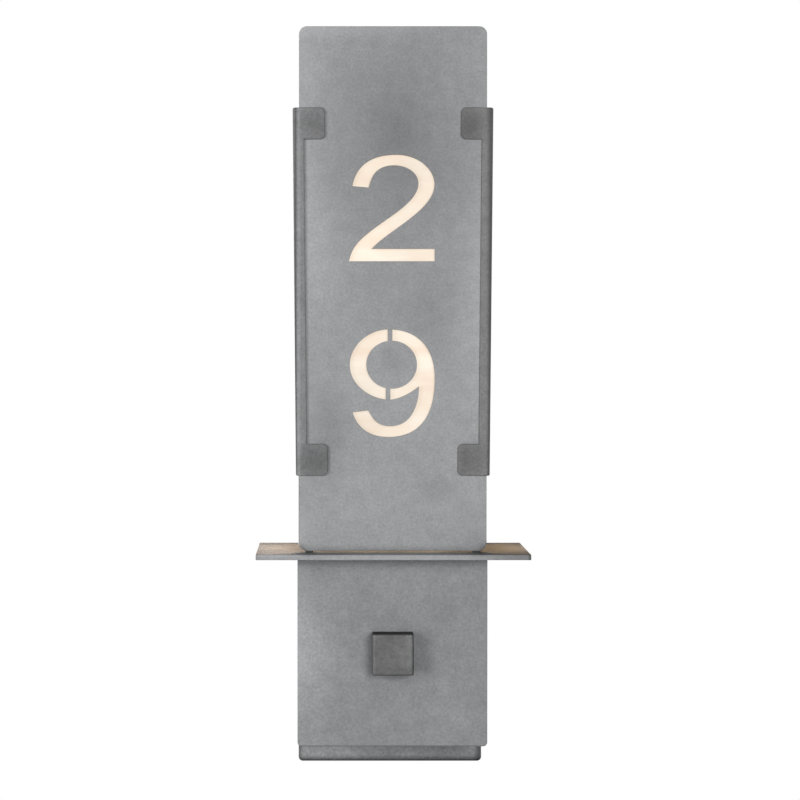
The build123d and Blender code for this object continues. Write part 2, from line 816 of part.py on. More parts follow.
for level, arm_height in arm_heights.items():
    lamp_axis = Axis((0, -lamp_depth, 0), (0, 0, 1))
    lamp_section = wall_plane(lamp_depth)
    arm_top = Plane.XY.offset(arm_height)
    socket_screw_spots = both_sides(socket_screw_offset, -lamp_depth)
    with BuildPart() as socket_bracket:
        foot_front = -pan_depth - arm_sheet
        with BuildSketch(Plane.YZ):
            with BuildLine():
                Polyline(
                    (-pan_depth, arm_height),
                    (-pan_depth - arm_length, arm_height),
                    (-pan_depth - arm_length, arm_height - arm_sheet),
                    (foot_front, arm_height - arm_sheet),
                    (foot_front, arm_height - arm_foot),
                    (-pan_depth, arm_height - arm_foot),
                    close=True,
                )
            make_face()
            fillet(vertices().group_by(Axis.Y)[-1].sort_by(Axis.X)[-1], arm_bend_radius)
            fillet(vertices().sort_by_distance((foot_front, arm_height - arm_sheet))[0], arm_sheet)
        extrude(amount=arm_width / 2, both=True)
        fillet(edges().filter_by(Axis.Z).group_by(Axis.Y)[0], arm_corner_radius)
        discs(arm_top, [(0, -lamp_depth)], arm_opening_radius, -arm_sheet, Mode.SUBTRACT)
        discs(
            arm_top,
            socket_screw_spots,
            socket_screw_radius + socket_screw_clearance,
            -arm_sheet,
            Mode.SUBTRACT,
        )
        foot_spots = both_sides(arm_screw_offset, arm_height - arm_foot / 2)
        discs(wall_plane(-foot_front), foot_spots, screw_hole_radius, -arm_sheet, Mode.SUBTRACT)
    save(socket_bracket, f"{level}_socket_bracket")

    with BuildPart() as socket_screws:
        arm_underside = Plane.XY.offset(arm_height - arm_sheet)
        discs(arm_underside, socket_screw_spots, socket_screw_head_radius, -socket_screw_head_height)
        discs(arm_underside, socket_screw_spots, socket_screw_radius, arm_sheet + socket_screw_grip)
    save(socket_screws, f"{level}_socket_screws")

    with BuildPart() as socket_body:
        with BuildSketch(lamp_section):
            with BuildLine():
                Polyline(
                    (0, arm_height),
                    (socket_radius, arm_height),
                    (socket_radius, arm_height + socket_flange_height),
                    (socket_waist_radius, arm_height + socket_flange_height + waist_step),
                    (socket_waist_radius, arm_height + socket_height - socket_rim_height - waist_step),
                    (socket_radius, arm_height + socket_height - socket_rim_height),
                    (socket_radius, arm_height + socket_height),
                    (cavity_radius, arm_height + socket_height),
                    (cavity_radius, arm_height + socket_floor),
                    (0, arm_height + socket_floor),
                    close=True,
                )
            make_face()
        revolve(axis=lamp_axis)
        fillet(edges().filter_by(GeomType.CIRCLE).group_by(Axis.Z)[-1].sort_by(SortBy.RADIUS)[-1], socket_edge_radius)
        discs(arm_top, socket_lead_spots, lead_radius + lead_hole_clearance, lead_entry_depth, Mode.SUBTRACT)
        discs(
            arm_top,
            socket_screw_spots,
            socket_screw_radius + socket_screw_clearance,
            socket_screw_grip,
            Mode.SUBTRACT,
        )
    save(socket_body, f"{level}_socket")

    with BuildPart() as screw_shell:
        shell_foot = arm_height + socket_floor
        with BuildSketch(lamp_section):
            with BuildLine():
                Polyline(
                    (shell_opening_radius, shell_foot),
                    (shell_outer_radius, shell_foot),
                    (shell_outer_radius, shell_foot + shell_height),
                    (shell_inner_radius, shell_foot + shell_height),
                    (shell_inner_radius, shell_foot + shell_sheet),
                    (shell_opening_radius, shell_foot + shell_sheet),
                    close=True,
                )
            make_face()
        revolve(axis=lamp_axis)
    save(screw_shell, f"{level}_screw_shell")

    with BuildPart() as socket_contact:
        discs(Plane.XY.offset(shell_foot), [(0, -lamp_depth)], contact_radius, contact_height)
        fillet(edges().group_by(Axis.Z)[-1], contact_edge_radius)
    save(socket_contact, f"{level}_socket_contact")

    with BuildPart() as lamp_base:
        foot = arm_height + base_bottom
        cone_top = foot + lamp_tip_height + lamp_cone_height
        cup_radius = neck_radius + lamp_seat_clearance
        with BuildSketch(lamp_section):
            with BuildLine():
                Polyline(
                    (0, foot),
                    (lamp_tip_radius, foot),
                    (lamp_tip_radius, foot + lamp_tip_height),
                    (lamp_cone_radius, cone_top),
                    (lamp_base_radius, cone_top),
                    (lamp_base_radius, arm_height + base_top),
                    (cup_radius, arm_height + base_top),
                    (cup_radius, arm_height + cup_floor),
                    (0, arm_height + cup_floor),
                    close=True,
                )
            make_face()
        revolve(axis=lamp_axis)
    save(lamp_base, f"{level}_lamp_base")

    with BuildPart() as lamp_glass:
        glass_section = Plane(origin=(0, -lamp_depth, 0), x_dir=(1, 0, 0), z_dir=(0, -1, 0))
        with BuildSketch(glass_section):
            lamp_outline(arm_height, 0)
        revolve(axis=lamp_axis)
        with BuildSketch(glass_section):
            lamp_outline(arm_height, glass_wall)
        revolve(axis=lamp_axis, mode=Mode.SUBTRACT)
    save(lamp_glass, f"{level}_lamp_glass")

with BuildPart() as socket_bracket_screws:
    add_screws(wall_plane(pan_depth + arm_sheet), arm_screw_spots, arm_sheet + pan_sheet)
save(socket_bracket_screws, "socket_bracket_screws")

# All the nuts behind the pan
with BuildPart() as pan_nuts:
    add_nuts(
        wall_plane(pan_inside - nut_height),
        pan_screw_spots,
        nut_across_flats,
        screw_radius + nut_clearance,
        nut_height,
    )
save(pan_nuts, "pan_nuts")

# The four insulated leads, each from its pole, up through the shelf bushing to its socket.
# The upper pair goes up beside the lower lamp, held by a clip on each side.
lead_base = block_top - block_wire_entry
grommet_exit = shelf_top + grommet_flange
clip_middle = lower_arm_height + clip_rise


def lead_route(side, level):
    """The points of one lead, from its pole to its socket; side is -1 on the left and 1 on the right."""
    near = lead_pitch / 2
    lower = level == "lower"
    pole = side * (pole_offsets[-2] if lower else pole_offsets[-1])
    depth = lead_grommet_depth + (near if lower else -near)
    socket_end = arm_heights[level] + lead_entry_depth
    points = [
        (pole, -block_wire_depth, lead_base),
        (pole, -block_wire_depth, block_top + lead_rise_from_pole),
        (side * near, -depth, shelf_bottom - lead_run_into_bushing),
        (side * near, -depth, grommet_exit + lead_run_into_bushing),
    ]
    if not lower:
        points += [
            (side * lead_side_offset, -lead_back_depth, grommet_exit + lead_run_beside_lamp),
            (side * lead_side_offset, -lead_back_depth, upper_arm_height - lead_run_beside_lamp),
        ]
    points += [
        (side * lead_entry_offset, -lamp_depth, arm_heights[level] - lead_drop_from_socket),
        (side * lead_entry_offset, -lamp_depth, socket_end),
    ]
    return points


for level in arm_heights:
    for side, pole_name in ((-1, "live"), (1, "neutral")):
        route = lead_route(side, level)
        radii = lead_radii(route)
        with BuildPart() as lead:
            with BuildLine() as lead_line:
                FilletPolyline(*route, radius=radii)
            with BuildSketch(Plane(lead_line.line @ 0, z_dir=lead_line.line % 0)):
                Circle(lead_radius)
            sweep(path=lead_line.line)
        save(lead, f"{level}_{pole_name}_lead")
        print(level, pole_name, "lead radii", [round(radius, 1) for radius in radii])

# The clips that hold the upper leads against the pan
with BuildPart() as lead_clips:
    clip_depth = lead_back_depth + lead_radius + clip_wall - pan_depth
    with BuildSketch(wall_plane(pan_depth)):
        with Locations(*both_sides(lead_side_offset, clip_middle)):
            RectangleRounded(clip_width, clip_height, clip_corner_radius)
    extrude(amount=clip_depth)
    discs(
        Plane.XY.offset(clip_middle - clip_height / 2),
        both_sides(lead_side_offset, -lead_back_depth),
        lead_radius + lead_hole_clearance,
        clip_height,
        Mode.SUBTRACT,
    )
save(lead_clips, "lead_clips")
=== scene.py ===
import json
import math

import bmesh
import bpy
from mathutils import Matrix, Vector


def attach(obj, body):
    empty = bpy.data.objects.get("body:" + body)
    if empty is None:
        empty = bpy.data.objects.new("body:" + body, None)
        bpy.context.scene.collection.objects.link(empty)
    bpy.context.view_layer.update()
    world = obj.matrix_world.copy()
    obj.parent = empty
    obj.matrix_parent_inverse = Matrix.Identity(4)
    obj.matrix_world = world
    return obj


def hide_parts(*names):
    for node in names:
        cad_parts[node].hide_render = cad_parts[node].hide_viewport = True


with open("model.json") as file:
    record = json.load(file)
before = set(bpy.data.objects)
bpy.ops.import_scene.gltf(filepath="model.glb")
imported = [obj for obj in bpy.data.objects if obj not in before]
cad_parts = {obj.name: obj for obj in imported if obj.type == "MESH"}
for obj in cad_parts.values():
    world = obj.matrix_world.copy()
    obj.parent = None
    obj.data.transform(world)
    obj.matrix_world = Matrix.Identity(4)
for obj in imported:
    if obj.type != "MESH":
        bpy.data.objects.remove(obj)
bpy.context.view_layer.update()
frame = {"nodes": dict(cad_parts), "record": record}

# An outdoor wall sconce whose number panel is lit from behind. Metres, in the model's own frame:
# +X to the viewer's right, +Y into the wall, +Z up, origin on the wall behind the cap nut.
nodes = frame["nodes"]
front = Vector((0, -1, 0))
up = Vector((0, 0, 1))
down = -up


# Node trees

def add_node(tree, kind, **settings):
    """A new shader node; each setting is a property of the node or the value of one of its inputs."""
    node = tree.nodes.new(kind)
    for name, value in settings.items():
        if name in node.bl_rna.properties:
            setattr(node, name, value)
        else:
            node.inputs[name.replace("_", " ")].default_value = value
    return node


def object_coordinates(tree):
    """The surface's own coordinates in metres, which stay with the piece as it moves."""
    return add_node(tree, "ShaderNodeTexCoord").outputs["Object"]


def noise(tree, scale, detail=3.0, roughness=0.55, stretch=(1.0, 1.0, 1.0)):
    """Noise of about 1 / scale metres a grain, drawn out along an axis where stretch is below 1."""
    mapping = add_node(tree, "ShaderNodeMapping", Scale=stretch)
    tree.links.new(object_coordinates(tree), mapping.inputs["Vector"])
    texture = add_node(tree, "ShaderNodeTexNoise", Scale=scale, Detail=detail, Roughness=roughness)
    tree.links.new(mapping.outputs["Vector"], texture.inputs["Vector"])
    return texture.outputs["Fac"]


def spread(tree, value, low, high, from_low=0.3, from_high=0.7, smooth=False):
    """A value stretched from its usual span to a new one."""
    node = add_node(
        tree, "ShaderNodeMapRange", From_Min=from_low, From_Max=from_high, To_Min=low, To_Max=high
    )
    if smooth:
        node.interpolation_type = "SMOOTHSTEP"
    tree.links.new(value, node.inputs["Value"])
    return node.outputs["Result"]


def vary(tree, value, swing, about=1.0):
    """A value's usual span turned into a swing either side of a middle."""
    return spread(tree, value, about - swing, about + swing)


def multiply(tree, first, second):
    """The product of two values."""
    node = add_node(tree, "ShaderNodeMath", operation="MULTIPLY")
    tree.links.new(first, node.inputs[0])
    tree.links.new(second, node.inputs[1])
    return node.outputs["Value"]


def tone(tree, colour, factor):
    """A colour, fixed or from a node, made lighter or darker by a factor near 1."""
    node = add_node(tree, "ShaderNodeVectorMath", operation="SCALE")
    if isinstance(colour, bpy.types.NodeSocket):
        tree.links.new(colour, node.inputs[0])
    else:
        node.inputs[0].default_value = colour
    tree.links.new(factor, node.inputs["Scale"])
    return node.outputs["Vector"]


def nearness(tree, centre, radii):
    """1 at a centre, falling to 0 at the radii along each axis."""
    mapping = add_node(tree, "ShaderNodeMapping", vector_type="TEXTURE", Location=centre, Scale=radii)
    tree.links.new(object_coordinates(tree), mapping.inputs["Vector"])
    gradient = add_node(tree, "ShaderNodeTexGradient", gradient_type="SPHERICAL")
    tree.links.new(mapping.outputs["Vector"], gradient.inputs["Vector"])
    return gradient.outputs["Fac"]


def painted_patch(tree, centre, radii, strength):
    """A soft round patch of painted light where strength is above 0 and of painted shade where it is below,
    lighter or darker than the rest by strength.
    """
    near = nearness(tree, centre, radii)
    return spread(tree, near, 1.0, 1.0 + strength, from_low=0.0, from_high=1.0, smooth=True)


def bump(tree, shader, height, depth, strength):
    """Relief of a real depth in metres."""
    node = add_node(tree, "ShaderNodeBump", Strength=strength, Distance=depth)
    tree.links.new(height, node.inputs["Height"])
    tree.links.new(node.outputs["Normal"], shader.inputs["Normal"])


def new_material(name, **values):
    """A material with its node tree, and its shader with any uniform values set."""
    material = bpy.data.materials.new(name)
    material.use_nodes = True
    shader = material.node_tree.nodes["Principled BSDF"]
    for socket, value in values.items():
        shader.inputs[socket.replace("_", " ")].default_value = value
    return material, material.node_tree, shader


# Materials

def powder_coat(name, colour, grain=0.3, mottle=0.09, roughness=0.6, gloss=0.1, relief=0.35, painted_patches=()):
    """Sandy powder coat: a fine grain, a soft mottle and any broad patches of painted light and shade."""
    material, tree, shader = new_material(name, Metallic=0.0, Specular_IOR_Level=gloss)
    fine = noise(tree, scale=430.0, detail=5.0, roughness=0.72)
    soft = noise(tree, scale=85.0)
    broad = noise(tree, scale=14.0, detail=2.0)
    factor = multiply(tree, vary(tree, fine, swing=grain), vary(tree, soft, swing=mottle))
    factor = multiply(tree, factor, vary(tree, broad, swing=0.035))
    # Lighter patches are painted light and darker ones painted shade, multiplied into the coat's colour.
    for patch in painted_patches:
        factor = multiply(tree, factor, painted_patch(tree, *patch))
    tree.links.new(tone(tree, colour, factor), shader.inputs["Base Color"])
    tree.links.new(vary(tree, fine, swing=0.07, about=roughness), shader.inputs["Roughness"])
    bump(tree, shader, fine, depth=0.00018, strength=relief)
    return material


def metal(name, colour, roughness):
    """Bare or plated metal with a fine grain and uneven plating."""
    material, tree, shader = new_material(name, Metallic=1.0)
    grain = noise(tree, scale=500.0, roughness=0.6)
    stains = noise(tree, scale=120.0)
    factor = multiply(tree, vary(tree, grain, swing=0.12), spread(tree, stains, low=0.92, high=1.06))
    tree.links.new(tone(tree, colour, factor), shader.inputs["Base Color"])
    dulled = spread(tree, stains, low=roughness - 0.08, high=roughness + 0.1)
    tree.links.new(dulled, shader.inputs["Roughness"])
    bump(tree, shader, grain, depth=0.00006, strength=0.3)
    return material


def moulded(name, colour, roughness, grain_scale=700.0, depth=0.00005, glaze=0.0):
    """Moulded plastic, rubber, foam or porcelain, with a fine surface grain and any clear glaze."""
    material, tree, shader = new_material(name, Coat_Weight=glaze)
    grain = noise(tree, scale=grain_scale, roughness=0.6)
    patches = noise(tree, scale=60.0, detail=2.0)
    tree.links.new(tone(tree, colour, vary(tree, patches, swing=0.06)), shader.inputs["Base Color"])
    tree.links.new(vary(tree, grain, swing=0.06, about=roughness), shader.inputs["Roughness"])
    bump(tree, shader, grain, depth=depth, strength=0.4)
    return material


def glowing(name, dark, light, base, strength, roughness, scale=26.0, stretch=(1.0, 1.0, 1.0), painted_patches=()):
    """A translucent white piece lit from behind: soft streaks of warmer and cooler glow from its emission,
    and any painted highlights and shade in that glow.
    """
    material, tree, shader = new_material(name, Roughness=roughness, Emission_Strength=strength)
    streaks = noise(tree, scale=scale, roughness=0.5, stretch=stretch)
    ramp = add_node(tree, "ShaderNodeValToRGB")
    for stop, position, colour in zip(ramp.color_ramp.elements, (0.36, 0.64), (dark, light)):
        stop.position = position
        stop.color = (*colour, 1.0)
    tree.links.new(streaks, ramp.inputs["Fac"])
    glow = ramp.outputs["Color"]
    for patch in painted_patches:
        glow = tone(tree, glow, painted_patch(tree, *patch))
    tree.links.new(glow, shader.inputs["Emission Color"])
    tree.links.new(tone(tree, base, vary(tree, streaks, swing=0.04)), shader.inputs["Base Color"])
    return material


# Painted light and shade on each coat, as lighter and darker patches: centre, radii and strength. A wide
# radius leaves its axis out.
wide = 10.0
# Number panel: painted highlights down its left edge and along its top, painted shade across its upper
# middle, painted shadow along its bottom edge and at its lower corners, and smaller painted patches of light
# and shade between.
panel_light_and_shade = [
    ((0.008, 0.0, 0.475), (0.12, 1.0, 0.19), -0.27),
    ((-0.1, 0.0, 0.50), (0.055, 1.0, 0.35), 0.2),
    ((-0.07, 0.0, 0.38), (0.04, 1.0, 0.1), 0.1),
    ((0.0, 0.0, 0.31), (0.05, 1.0, 0.05), -0.08),
    ((0.1, 0.0, 0.33), (0.05, 1.0, 0.2), 0.19),
    ((-0.04, 0.0, 0.583), (0.12, 1.0, 0.02), 0.2),
    ((0.005, 0.0, 0.48), (0.04, 1.0, 0.06), -0.12),
    ((0.036, 0.0, 0.318), (0.035, 1.0, 0.06), -0.17),
    ((0.0, 0.0, 0.272), (0.02, 1.0, 0.02), -0.14),
    ((-0.06, 0.0, 0.2), (0.03, 1.0, 0.07), -0.2),
    ((0.04, 0.0, 0.152), (0.03, 1.0, 0.02), -0.13),
    ((-0.084, 0.0, 0.115), (0.02, 1.0, 0.03), 0.16),
    ((0.08, 0.0, 0.104), (0.03, 1.0, 0.015), -0.12),
    ((0.0, 0.0, 0.094), (wide, wide, 0.009), -0.3),
    ((-0.0873, 0.0, 0.0954), (0.01, wide, 0.01), -0.5),
    ((0.0873, 0.0, 0.0954), (0.012, wide, 0.012), -0.55),
]
# Lower plate: a painted highlight at its left side, painted shadow under the shelf along its top, painted
# shade along its bottom edge, and smaller painted patches of light and shade.
plate_light_and_shade = [
    ((-0.097, 0.0, -0.005), (0.06, 1.0, 0.105), 0.45),
    ((0.09, 0.0, -0.02), (0.12, 1.0, 0.1), -0.03),
    ((0.0, 0.0, -0.089), (wide, wide, 0.002), -0.45),
    ((0.03, 0.0, 0.086), (0.12, 1.0, 0.014), -0.12),
    ((-0.086, 0.0, 0.02), (0.02, 1.0, 0.02), 0.14),
    ((0.045, 0.0, 0.04), (0.025, 1.0, 0.02), -0.12),
    ((0.055, 0.0, -0.05), (0.035, 1.0, 0.05), 0.14),
]
# Shelf: painted light along its front and out at the ends of its ears, and painted shade at its right end, at
# its front corners and on the ears next to the panel.
shelf_light_and_shade = [
    ((0.0, -0.1, 0.09), (0.12, wide, wide), 0.1),
    ((0.12, -0.05, 0.09), (0.06, wide, wide), -0.32),
    ((0.1275, -0.1016, 0.09), (0.005, 0.02, wide), -0.65),
    ((-0.128, -0.1016, 0.09), (0.006, 0.02, wide), -0.15),
    ((-0.088, -0.045, 0.0937), (0.016, 0.05, 0.003), -0.25),
    ((0.088, -0.045, 0.0937), (0.03, 0.06, 0.004), -0.25),
    ((-0.127, -0.045, 0.0937), (0.03, 0.06, 0.004), 0.3),
    ((-0.107, -0.095, 0.0937), (0.04, 0.03, 0.004), 0.3),
    ((0.127, -0.045, 0.0937), (0.045, 0.06, 0.004), 0.85),
    ((-0.08, -0.085, 0.0937), (0.014, 0.03, 0.004), -0.4),
    ((-0.06, -0.06, 0.0937), (0.04, 0.05, 0.004), -0.5),
    ((0.065, -0.06, 0.0937), (0.035, 0.05, 0.004), -0.5),
    ((0.08, -0.085, 0.0937), (0.014, 0.03, 0.004), -0.4),
]
# Cap nut: painted shade on its top, bottom and right side, a painted highlight over its right half and a
# painted highlight along its left edge.
cap_light_and_shade = [
    ((0.022, 0.0, 0.004), (0.03, 1.0, 0.03), 0.32),
    ((0.0, 0.0, 0.0195), (wide, wide, 0.0018), -0.65),
    ((0.0, 0.0, -0.0196), (wide, wide, 0.0026), -0.8),
    ((0.0196, 0.0, 0.0), (0.0032, wide, wide), -0.85),
    ((-0.0173, 0.0, 0.0), (0.0014, wide, wide), 0.2),
]
# Back pan: painted light towards its left end, painted shade towards its right end, and painted shade on its
# end bends and its bottom bend.
pan_light_and_shade = [
    ((-0.09, 0.0, -0.11), (0.1, wide, wide), 0.14),
    ((0.09, 0.0, -0.11), (0.1, wide, wide), -0.18),
    ((0.086, 0.0, -0.11), (0.005, wide, wide), -0.55),
    ((-0.0875, 0.0, -0.11), (0.003, wide, wide), -0.4),
    ((0.0, 0.0, -0.118), (wide, wide, 0.008), -0.85),
]
# Brackets: darker over the tabs, painted shade on the outer bends, and a painted highlight just inside the
# left bracket's bend.
left_bracket_light_and_shade = [
    ((-0.0665, 0.0, 0.49), (0.03, 1.0, 0.03), -0.26),
    ((-0.07, 0.0, 0.18), (0.035, 1.0, 0.03), -0.4),
    ((-0.0875, 0.0, 0.33), (0.0026, wide, wide), 0.25),
    ((-0.0905, 0.0, 0.33), (0.0018, wide, wide), -0.5),
]
right_bracket_light_and_shade = [
    ((0.068, 0.0, 0.49), (0.03, 1.0, 0.03), -0.4),
    ((0.068, 0.0, 0.18), (0.03, 1.0, 0.03), -0.3),
    ((0.0903, 0.0, 0.33), (0.0045, wide, wide), -0.5),
]
# Diffuser: painted highlights and shade in its glow behind the numerals.
opal_painted_glow = [
    ((-0.027, 0.0, 0.378), (0.045, 1.0, 0.04), 0.13),
    ((0.02, 0.0, 0.4515), (0.03, 1.0, 0.025), -0.09),
    ((0.026, 0.0, 0.278), (0.035, 1.0, 0.04), 0.06),
    ((-0.023, 0.0, 0.213), (0.03, 1.0, 0.025), -0.08),
    ((-0.025, 0.0, 0.248), (0.022, 1.0, 0.02), -0.1),
]

grey = (0.3, 0.303, 0.309)
materials = {
    "panel_grey": powder_coat("panel_grey", grey),
    "bracket_grey": powder_coat("bracket_grey", (0.22, 0.221, 0.224), grain=0.2),
    "cap_grey": powder_coat(
        "cap_grey", (0.139, 0.139, 0.139), grain=0.2, mottle=0.15, roughness=0.5, gloss=0.0, painted_patches=cap_light_and_shade
    ),
    "box_grey": powder_coat("box_grey", (0.28, 0.284, 0.29)),
    # The diffuser is no lamp: its glow is painted light that stands for the lamps behind it.
    "opal": glowing(
        "opal",
        dark=(0.65, 0.51, 0.38),
        light=(0.69, 0.6, 0.485),
        base=(0.2, 0.19, 0.18),
        strength=1.0,
        roughness=0.5,
        scale=70.0,
        stretch=(0.3, 1.0, 1.0),
        painted_patches=opal_painted_glow,
    ),
    "zinc": metal("zinc", (0.6, 0.61, 0.62), roughness=0.36),
    "earth_green": metal("earth_green", (0.05, 0.26, 0.09), roughness=0.35),
    "foam": moulded("foam", (0.03, 0.03, 0.03), roughness=0.9, grain_scale=420.0, depth=0.0004),
    "black_rubber": moulded("black_rubber", (0.022, 0.021, 0.02), roughness=0.75),
    "porcelain": moulded(
        "porcelain", (0.78, 0.76, 0.70), roughness=0.14, grain_scale=250.0, depth=0.00003, glaze=0.6
    ),
    "brass": metal("brass", (0.72, 0.52, 0.24), roughness=0.3),
    "lamp_metal": metal("lamp_metal", (0.74, 0.74, 0.75), roughness=0.32),
    "frosted_glass": glowing(
        "frosted_glass",
        dark=(1.0, 0.66, 0.38),
        light=(1.0, 0.74, 0.48),
        base=(0.8, 0.76, 0.7),
        strength=5.0,
        roughness=0.4,
    ),
    "nylon": moulded("nylon", (0.7, 0.69, 0.64), roughness=0.45),
    "black_insulation": moulded("black_insulation", (0.02, 0.02, 0.02), roughness=0.42),
    "white_insulation": moulded("white_insulation", (0.72, 0.72, 0.7), roughness=0.42),
}

# Coats of single pieces, whose patches of painted light and shade follow the photograph
number_coat = powder_coat("number_coat", grey, grain=0.16, mottle=0.06, relief=0.18, painted_patches=panel_light_and_shade)
own_coats = {
    "lower_plate": powder_coat(
        "plate_coat", (0.237, 0.241, 0.248), grain=0.2, mottle=0.075, relief=0.22, painted_patches=plate_light_and_shade
    ),
    # The right bracket's coat is darker than the left's: painted shade on the side the lamps light less.
    "left_bracket": powder_coat("left_coat_light_and_shade", (0.213, 0.215, 0.218), grain=0.2, painted_patches=left_bracket_light_and_shade),
    "right_bracket": powder_coat("right_coat_painted_shade", (0.196, 0.195, 0.195), grain=0.2, painted_patches=right_bracket_light_and_shade),
    "back_pan": powder_coat("pan_coat", (0.28, 0.284, 0.288), painted_patches=pan_light_and_shade),
    "shelf": powder_coat(
        "shelf_coat", grey, grain=0.12, mottle=0.04, gloss=0.0, relief=0.04, painted_patches=shelf_light_and_shade
    ),
}


def dress(node, material):
    """A CAD piece gets its finish."""
    mesh = nodes[node].data
    mesh.materials.clear()
    mesh.materials.append(material)


for subpart in frame["record"]["subparts"]:
    dress(subpart["node"], materials[subpart["material_slot"]])
for node, coat in own_coats.items():
    dress(node, coat)


# Meshes of threads, screws and nuts

weld_distance = 1e-6


def solids_of(node):
    """The lowest and highest corner of each separate solid in a CAD node, in the same order each run."""
    mesh = bmesh.new()
    mesh.from_mesh(nodes[node].data)
    bmesh.ops.remove_doubles(mesh, verts=mesh.verts, dist=weld_distance)
    waiting = set(mesh.verts)
    corners = []
    while waiting:
        stack = [waiting.pop()]
        found = list(stack)
        while stack:
            for edge in stack.pop().link_edges:
                for vertex in edge.verts:
                    if vertex in waiting:
                        waiting.remove(vertex)
                        stack.append(vertex)
                        found.append(vertex)
        low = Vector([min(vertex.co[axis] for vertex in found) for axis in range(3)])
        high = Vector([max(vertex.co[axis] for vertex in found) for axis in range(3)])
        corners.append((low, high))
    mesh.free()
    return sorted(corners, key=lambda pair: tuple(round(value, 5) for value in pair[0]))


def extent(low, high, axis):
    """How far a solid reaches along an axis, from its lowest and highest corners."""
    return sum(abs(part) * (last - first) for part, first, last in zip(axis, low, high))


def middle(low, high):
    """The point halfway between two corners."""
    return (low + high) / 2


def pointed(axis):
    """The turn that brings z to an axis."""
    return axis.to_track_quat("Z", "Y").to_matrix().to_4x4()


def thread_rings(crest, root, pitch, length, turns=28, steps=6, lead_in=0.7):
    """Rings of a V thread from z = 0 down to -length, with a lead-in at its free end."""
    count = max(2, round(length / pitch * steps))
    rings = []
    for index in range(count + 1):
        depth = length * index / count
        ring = []
        for turn in range(turns):
            angle = 2 * math.pi * turn / turns
            phase = (depth / pitch + turn / turns) % 1.0
            radius = root + (crest - root) * (1.0 - abs(2.0 * phase - 1.0))
            radius = min(radius, root + lead_in * (length - depth))
            ring.append(Vector((radius * math.cos(angle), radius * math.sin(angle), -depth)))
        rings.append(ring)
    return rings


def lathe_rings(profile, turns=48):
    """Rings of a turned shape, from pairs of radius and height."""
    return [
        [
            Vector((radius * math.cos(angle), radius * math.sin(angle), height))
            for angle in (2 * math.pi * turn / turns for turn in range(turns))
        ]
        for radius, height in profile
    ]


def skin(rings, closed=False):
    """A closed mesh over rings of the same number of points, with flat ends or joined end to end."""
    mesh = bmesh.new()
    loops = [[mesh.verts.new(point) for point in ring] for ring in rings]
    pairs = list(zip(loops, loops[1:]))
    if closed:
        pairs.append((loops[-1], loops[0]))
    for first, second in pairs:
        for index in range(len(first)):
            following = (index + 1) % len(first)
            mesh.faces.new((first[index], first[following], second[following], second[index]))
    if not closed:
        mesh.faces.new(loops[0][::-1])
        mesh.faces.new(loops[-1])
    bmesh.ops.recalc_face_normals(mesh, faces=mesh.faces)
    data = bpy.data.meshes.new("skin")
    mesh.to_mesh(data)
    mesh.free()
    return data


def joined(*meshes):
    """Several meshes as one."""
    mesh = bmesh.new()
    for data in meshes:
        mesh.from_mesh(data)
    result = bpy.data.meshes.new("joined")
    mesh.to_mesh(result)
    mesh.free()
    return result


def cut(data, cutter):
    """One mesh with another taken away."""
    body = bpy.data.objects.new("cut_body", data)
    tool = bpy.data.objects.new("cut_tool", cutter)
    for piece in (body, tool):
        bpy.context.scene.collection.objects.link(piece)
    modifier = body.modifiers.new("cut", "BOOLEAN")
    modifier.operation = "DIFFERENCE"
    modifier.solver = "EXACT"
    modifier.object = tool
    bpy.context.view_layer.update()
    view = body.evaluated_get(bpy.context.evaluated_depsgraph_get())
    result = bpy.data.meshes.new_from_object(view)
    bpy.data.objects.remove(body)
    bpy.data.objects.remove(tool)
    return result


def recess_cutters(reach, width, bottom, top, crossed, taper=0.45):
    """Bars that cut a cross recess, which narrows towards its bottom, or one straight slot."""
    turns = (0.0, math.pi / 2) if crossed else (0.0,)
    bars = []
    for turn in turns:
        mesh = bmesh.new()
        bmesh.ops.create_cube(mesh, size=1.0)
        for vertex in mesh.verts:
            low = vertex.co.z < 0
            along = reach * (taper if low and crossed else 1.0)
            vertex.co = Vector((2 * vertex.co.x * along, vertex.co.y * width, bottom if low else top))
        bmesh.ops.rotate(mesh, verts=mesh.verts, cent=(0, 0, 0), matrix=Matrix.Rotation(turn, 3, "Z"))
        data = bpy.data.meshes.new("bar")
        mesh.to_mesh(data)
        mesh.free()
        bars.append(data)
    return bars


# A pan head's outline, as shares of its rim's radius and of its height
pan_head = [(0.97, 0.0), (1.0, 0.04), (1.0, 0.55), (0.93, 0.78), (0.8, 0.92), (0.5, 0.985), (0.1, 1.0)]


def screw(head_radius, head_height, shank_radius, pitch, length, crossed):
    """A screw along z: its head above z = 0 and its threaded shank below."""
    rim = head_radius * 0.99
    head = skin(lathe_rings([(rim * across, head_height * rise) for across, rise in pan_head]))
    cutters = recess_cutters(
        reach=head_radius * (0.55 if crossed else 1.3),
        width=head_radius * 0.22,
        bottom=head_height * (0.25 if crossed else 0.45),
        top=head_height * 1.3,
        crossed=crossed,
    )
    for cutter in cutters:
        head = cut(head, cutter)
    shank = skin(thread_rings(shank_radius, shank_radius * 0.8, pitch, length))
    return joined(head, shank)


